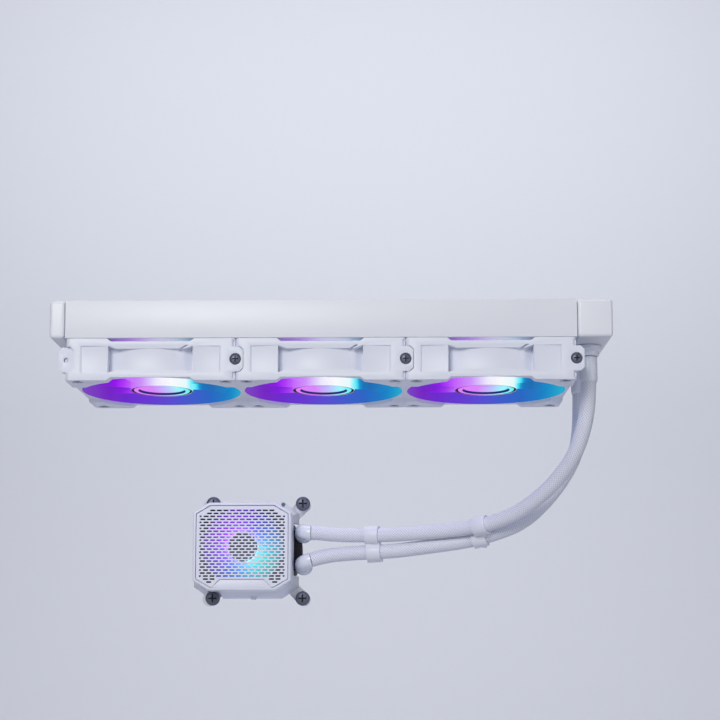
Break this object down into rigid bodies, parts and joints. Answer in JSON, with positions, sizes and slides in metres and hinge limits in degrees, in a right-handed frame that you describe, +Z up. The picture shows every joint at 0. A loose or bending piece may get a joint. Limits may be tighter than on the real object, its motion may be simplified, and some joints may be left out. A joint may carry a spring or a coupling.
{
  "type": "liquid cooling radiator",
  "caption": "All-in-one processor liquid cooler: flat radiator with linked axial fans, two braided hoses and a pump block with a slotted front and a four-screw bracket.",
  "frame": {"origin": "centre of the radiator's top face, the face that screws to the computer case", "axes": "+Z up out of the radiator, +X towards the tank with the hose ports, +Y the way the pump's cold plate faces"},
  "size_m": [0.4, 0.1805, 0.2097],
  "materials": {
    "radiator_shell": "fine satin white powder coat",
    "core": "thin folded fins and flat tubes, painted white, satin",
    "fittings": "smooth white, slightly glossy",
    "steel_parts": "plain machined steel",
    "fan_frames": "fine-grained white moulded plastic",
    "fan_rotors": "milky translucent plastic, lit from the hub",
    "fan_hubs": "milky translucent plastic, lit from behind",
    "motor_black": "black moulded plastic",
    "boards": "dark circuit board",
    "dark_screws": "dark grey zinc, satin",
    "hose_braid": "white woven nylon braid over a rubber hose",
    "clips": "white moulded plastic",
    "copper_plate": "machined copper, satin",
    "seal_rubber": "black rubber",
    "bracket_metal": "white paint, satin",
    "pump_shell": "white moulded plastic, satin",
    "light_ring": "milky light guide, lit from behind"
  },
  "bodies": {
    "root": {"side_rail_front": "radiator_shell", "side_rail_rear": "radiator_shell", "end_tank_ports": "radiator_shell", "end_tank_return": "radiator_shell", "tube_bank": "core", "fin_pack": "core", "port_fitting_front": "fittings", "port_fitting_rear": "fittings", "fill_plug": "steel_parts", "fan_frame_left": "fan_frames", "fan_stator_left": "motor_black", "fan_light_board_left": "boards", "link_screw_left": "dark_screws", "fan_frame_middle": "fan_frames", "fan_stator_middle": "motor_black", "fan_light_board_middle": "boards", "link_screw_middle": "dark_screws", "fan_frame_right": "fan_frames", "fan_stator_right": "motor_black", "fan_light_board_right": "boards", "link_screw_right": "dark_screws", "hose_front": "hose_braid", "hose_rear": "hose_braid", "hose_sleeve_front": "fittings", "hose_sleeve_rear": "fittings", "hose_clip_near_pump": "clips", "hose_clip_middle": "clips", "cold_plate": "copper_plate", "seal_ring": "seal_rubber", "pump_base": "motor_black", "mounting_bracket": "bracket_metal", "pump_housing": "pump_shell", "pump_cap": "pump_shell", "cap_grille": "pump_shell", "nameplate": "pump_shell", "light_diffuser": "light_ring", "led_board": "boards", "pump_stator": "steel_parts", "elbow_upper": "fittings", "elbow_lower": "fittings", "cable_gland": "seal_rubber", "screw_spring_upper_left": "steel_parts", "screw_spring_upper_right": "steel_parts", "screw_spring_lower_left": "steel_parts", "screw_spring_lower_right": "steel_parts"},
    "rotor_left": {"fan_rotor_left": "fan_rotors", "fan_hub_cap_left": "fan_hubs", "fan_shaft_left": "steel_parts"},
    "rotor_middle": {"fan_rotor_middle": "fan_rotors", "fan_hub_cap_middle": "fan_hubs", "fan_shaft_middle": "steel_parts"},
    "rotor_right": {"fan_rotor_right": "fan_rotors", "fan_hub_cap_right": "fan_hubs", "fan_shaft_right": "steel_parts"},
    "impeller": {"impeller": "motor_black"},
    "mount_screw_upper_left": {"mount_screw_upper_left": "dark_screws"},
    "mount_screw_upper_right": {"mount_screw_upper_right": "dark_screws"},
    "mount_screw_lower_left": {"mount_screw_lower_left": "dark_screws"},
    "mount_screw_lower_right": {"mount_screw_lower_right": "dark_screws"}
  },
  "joints": [
    {"name": "fan_spin_left", "type": "hinge", "parent": "root", "child": "rotor_left", "pos_m": [-0.12, 0, -0.0423], "axis": [0, 0, 1], "continuous": true},
    {"name": "fan_spin_middle", "type": "hinge", "parent": "root", "child": "rotor_middle", "pos_m": [0, 0, -0.0423], "axis": [0, 0, 1], "continuous": true},
    {"name": "fan_spin_right", "type": "hinge", "parent": "root", "child": "rotor_right", "pos_m": [0.12, 0, -0.0423], "axis": [0, 0, 1], "continuous": true},
    {"name": "impeller_spin", "type": "hinge", "parent": "root", "child": "impeller", "pos_m": [-0.0574, 0.1, -0.1666], "axis": [0, 1, 0], "continuous": true},
    {"name": "screw_turn_upper_left", "type": "hinge", "parent": "root", "child": "mount_screw_upper_left", "pos_m": [-0.0909, 0.1, -0.1291], "axis": [0, 1, 0], "continuous": true},
    {"name": "screw_turn_upper_right", "type": "hinge", "parent": "root", "child": "mount_screw_upper_right", "pos_m": [-0.0199, 0.1, -0.1291], "axis": [0, 1, 0], "continuous": true},
    {"name": "screw_turn_lower_left", "type": "hinge", "parent": "root", "child": "mount_screw_lower_left", "pos_m": [-0.0909, 0.1, -0.2041], "axis": [0, 1, 0], "continuous": true},
    {"name": "screw_turn_lower_right", "type": "hinge", "parent": "root", "child": "mount_screw_lower_right", "pos_m": [-0.0199, 0.1, -0.2041], "axis": [0, 1, 0], "continuous": true}
  ]
}
